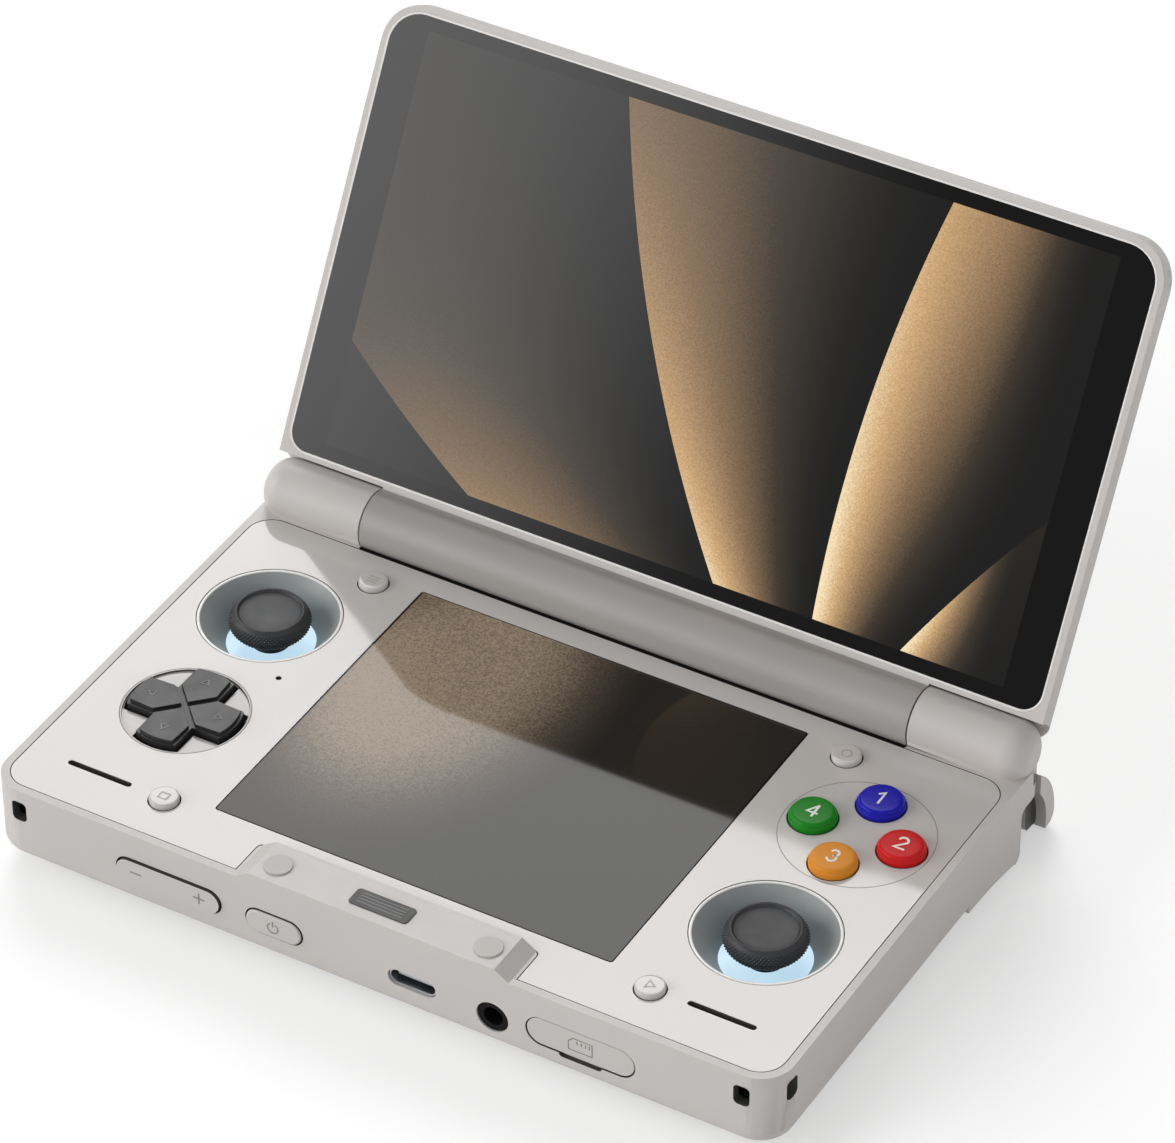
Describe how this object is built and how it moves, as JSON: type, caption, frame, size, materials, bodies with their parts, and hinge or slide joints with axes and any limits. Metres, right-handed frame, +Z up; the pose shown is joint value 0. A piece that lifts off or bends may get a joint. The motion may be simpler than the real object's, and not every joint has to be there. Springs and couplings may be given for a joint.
{
  "type": "clamshell handheld game console",
  "caption": "Clamshell handheld game console: hinged lid with a wide screen, base with a second screen, thumbsticks, cross pad, action buttons, shoulder keys and triggers.",
  "frame": {"origin": "middle of the flat pad on the underside of the base, in the plane of that pad", "axes": "+X along the hinge to the player's right, +Y from the player to the hinge, +Z up out of the base's face"},
  "size_m": [0.15, 0.1369, 0.0972],
  "materials": {
    "shell": "fine satin, warm light grey",
    "faceplate": "high gloss, warm off-white",
    "screen_glass": "polished, black printed border",
    "display": "display panel",
    "rubber_light": "soft matt",
    "rubber_black": "matt black",
    "stick_black": "matt black, knurled rim",
    "pad_grey": "matt dark grey",
    "badge": "matt dark grey",
    "dish_grey": "satin mid grey",
    "light_ring": "milky light guide, pale blue",
    "key_green": "gloss green",
    "key_blue": "gloss blue",
    "key_red": "gloss red",
    "key_orange": "gloss orange",
    "board": "solder resist",
    "battery": "foil pouch",
    "copper": "bare copper",
    "steel": "plain",
    "black_plastic": "matt black",
    "white_plastic": "natural",
    "film": "amber film"
  },
  "bodies": {
    "base": {"lower_cover": "shell", "base_frame": "shell", "faceplate": "faceplate", "lower_glass": "screen_glass", "lower_display": "display", "rest_bumpers": "rubber_light", "badge_plate": "badge", "button_bezel": "faceplate", "dpad_bezel": "faceplate", "stick_bezels": "dish_grey", "led_rings": "light_ring", "stick_housings": "steel", "main_board": "board", "battery": "battery", "heat_spreader": "copper", "fan_housing": "black_plastic", "usb_socket": "steel", "audio_jack": "black_plastic", "card_reader": "steel", "speakers": "black_plastic", "microphone": "steel", "vibration_motor": "steel", "key_boards": "board", "key_membranes": "rubber_light", "side_switches": "board", "case_screws": "steel", "rubber_feet": "rubber_black", "hinge_brackets": "steel", "shoulder_pins": "steel"},
    "fan": {"fan_impeller": "black_plastic"},
    "button_left": {"button_left": "key_green"},
    "button_top": {"button_top": "key_blue"},
    "button_right": {"button_right": "key_red"},
    "button_bottom": {"button_bottom": "key_orange"},
    "menu_key_back_left": {"menu_key_back_left": "faceplate"},
    "menu_key_back_right": {"menu_key_back_right": "faceplate"},
    "menu_key_front_left": {"menu_key_front_left": "faceplate"},
    "menu_key_front_right": {"menu_key_front_right": "faceplate"},
    "dpad_pivot": {"dpad_pivot": "steel"},
    "dpad_cross": {"dpad_cross": "pad_grey"},
    "stick_yoke_left": {"stick_yoke_left": "white_plastic"},
    "stick_rocker_left": {"stick_rocker_left": "black_plastic"},
    "stick_cap_left": {"stick_cap_left": "stick_black"},
    "stick_yoke_right": {"stick_yoke_right": "white_plastic"},
    "stick_rocker_right": {"stick_rocker_right": "black_plastic"},
    "stick_cap_right": {"stick_cap_right": "stick_black"},
    "volume_rocker": {"volume_rocker": "shell"},
    "power_button": {"power_button": "shell"},
    "card_cover": {"card_cover": "rubber_light"},
    "shoulder_left": {"shoulder_left": "shell"},
    "shoulder_right": {"shoulder_right": "shell"},
    "trigger_left": {"trigger_left": "shell"},
    "trigger_right": {"trigger_right": "shell"},
    "lid": {"lid_frame": "shell", "lid_back": "shell", "lid_glass": "screen_glass", "upper_display": "display", "hinge_shafts": "steel", "display_flex": "film"}
  },
  "joints": [
    {"name": "lid_hinge", "type": "hinge", "parent": "base", "child": "lid", "pos_m": [0, 0.0414, 0.0174], "axis": [-1, 0, 0], "range_deg": [-120, 30]},
    {"name": "button_left_press", "type": "slide", "parent": "base", "child": "button_left", "axis": [0, 0, 1], "range_m": [-0.0012, 0], "stiffness_N_per_m": 700},
    {"name": "button_top_press", "type": "slide", "parent": "base", "child": "button_top", "axis": [0, 0, 1], "range_m": [-0.0012, 0], "stiffness_N_per_m": 700},
    {"name": "button_right_press", "type": "slide", "parent": "base", "child": "button_right", "axis": [0, 0, 1], "range_m": [-0.0012, 0], "stiffness_N_per_m": 700},
    {"name": "button_bottom_press", "type": "slide", "parent": "base", "child": "button_bottom", "axis": [0, 0, 1], "range_m": [-0.0012, 0], "stiffness_N_per_m": 700},
    {"name": "menu_key_back_left_press", "type": "slide", "parent": "base", "child": "menu_key_back_left", "axis": [0, 0, 1], "range_m": [-0.0005, 0], "stiffness_N_per_m": 1500},
    {"name": "menu_key_back_right_press", "type": "slide", "parent": "base", "child": "menu_key_back_right", "axis": [0, 0, 1], "range_m": [-0.0005, 0], "stiffness_N_per_m": 1500},
    {"name": "menu_key_front_left_press", "type": "slide", "parent": "base", "child": "menu_key_front_left", "axis": [0, 0, 1], "range_m": [-0.0005, 0], "stiffness_N_per_m": 1500},
    {"name": "menu_key_front_right_press", "type": "slide", "parent": "base", "child": "menu_key_front_right", "axis": [0, 0, 1], "range_m": [-0.0005, 0], "stiffness_N_per_m": 1500},
    {"name": "dpad_rock_y", "type": "hinge", "parent": "base", "child": "dpad_pivot", "pos_m": [-0.0559, -0.0158, 0.0109], "axis": [1, 0, 0], "range_deg": [-3.5, 3.5], "stiffness_Nm_per_rad": 0.15},
    {"name": "dpad_rock_x", "type": "hinge", "parent": "dpad_pivot", "child": "dpad_cross", "pos_m": [-0.0559, -0.0158, 0.0109], "axis": [0, 1, 0], "range_deg": [-3.5, 3.5], "stiffness_Nm_per_rad": 0.15},
    {"name": "stick_left_tilt_y", "type": "hinge", "parent": "base", "child": "stick_yoke_left", "pos_m": [-0.0572, 0.0126, 0.0054], "axis": [1, 0, 0], "range_deg": [-11, 11], "stiffness_Nm_per_rad": 0.04},
    {"name": "stick_left_tilt_x", "type": "hinge", "parent": "stick_yoke_left", "child": "stick_rocker_left", "pos_m": [-0.0572, 0.0126, 0.0054], "axis": [0, 1, 0], "range_deg": [-11, 11], "stiffness_Nm_per_rad": 0.04},
    {"name": "stick_left_click", "type": "slide", "parent": "stick_rocker_left", "child": "stick_cap_left", "axis": [0, 0, 1], "range_m": [-0.0005, 0], "stiffness_N_per_m": 4000},
    {"name": "stick_right_tilt_y", "type": "hinge", "parent": "base", "child": "stick_yoke_right", "pos_m": [0.0559, -0.0158, 0.0054], "axis": [1, 0, 0], "range_deg": [-11, 11], "stiffness_Nm_per_rad": 0.04},
    {"name": "stick_right_tilt_x", "type": "hinge", "parent": "stick_yoke_right", "child": "stick_rocker_right", "pos_m": [0.0559, -0.0158, 0.0054], "axis": [0, 1, 0], "range_deg": [-11, 11], "stiffness_Nm_per_rad": 0.04},
    {"name": "stick_right_click", "type": "slide", "parent": "stick_rocker_right", "child": "stick_cap_right", "axis": [0, 0, 1], "range_m": [-0.0005, 0], "stiffness_N_per_m": 4000},
    {"name": "volume_rock", "type": "hinge", "parent": "base", "child": "volume_rocker", "pos_m": [-0.0393, -0.0436, 0.007], "axis": [0, 0, 1], "range_deg": [-2, 2], "stiffness_Nm_per_rad": 0.2},
    {"name": "power_press", "type": "slide", "parent": "base", "child": "power_button", "axis": [0, 1, 0], "range_m": [0, 0.0004], "stiffness_N_per_m": 3000},
    {"name": "card_cover_flap", "type": "hinge", "parent": "base", "child": "card_cover", "pos_m": [0.0393, -0.047, 0.00975], "axis": [-1, 0, 0], "range_deg": [0, 100]},
    {"name": "shoulder_left_press", "type": "hinge", "parent": "base", "child": "shoulder_left", "pos_m": [-0.0408, 0.0424, 0.0082], "axis": [-1, 0, 0], "range_deg": [0, 3], "stiffness_Nm_per_rad": 0.4, "springref_deg": -1.15},
    {"name": "trigger_left_pull", "type": "hinge", "parent": "base", "child": "trigger_left", "pos_m": [-0.0625, 0.0424, 0.0095], "axis": [-1, 0, 0], "range_deg": [0, 8], "stiffness_Nm_per_rad": 0.1, "springref_deg": -5.73},
    {"name": "shoulder_right_press", "type": "hinge", "parent": "base", "child": "shoulder_right", "pos_m": [0.0408, 0.0424, 0.0082], "axis": [-1, 0, 0], "range_deg": [0, 3], "stiffness_Nm_per_rad": 0.4, "springref_deg": -1.15},
    {"name": "trigger_right_pull", "type": "hinge", "parent": "base", "child": "trigger_right", "pos_m": [0.0625, 0.0424, 0.0095], "axis": [-1, 0, 0], "range_deg": [0, 8], "stiffness_Nm_per_rad": 0.1, "springref_deg": -5.73},
    {"name": "fan_spin", "type": "hinge", "parent": "base", "child": "fan", "pos_m": [0.013, 0.019, 0.006], "axis": [0, 0, 1], "continuous": true}
  ]
}
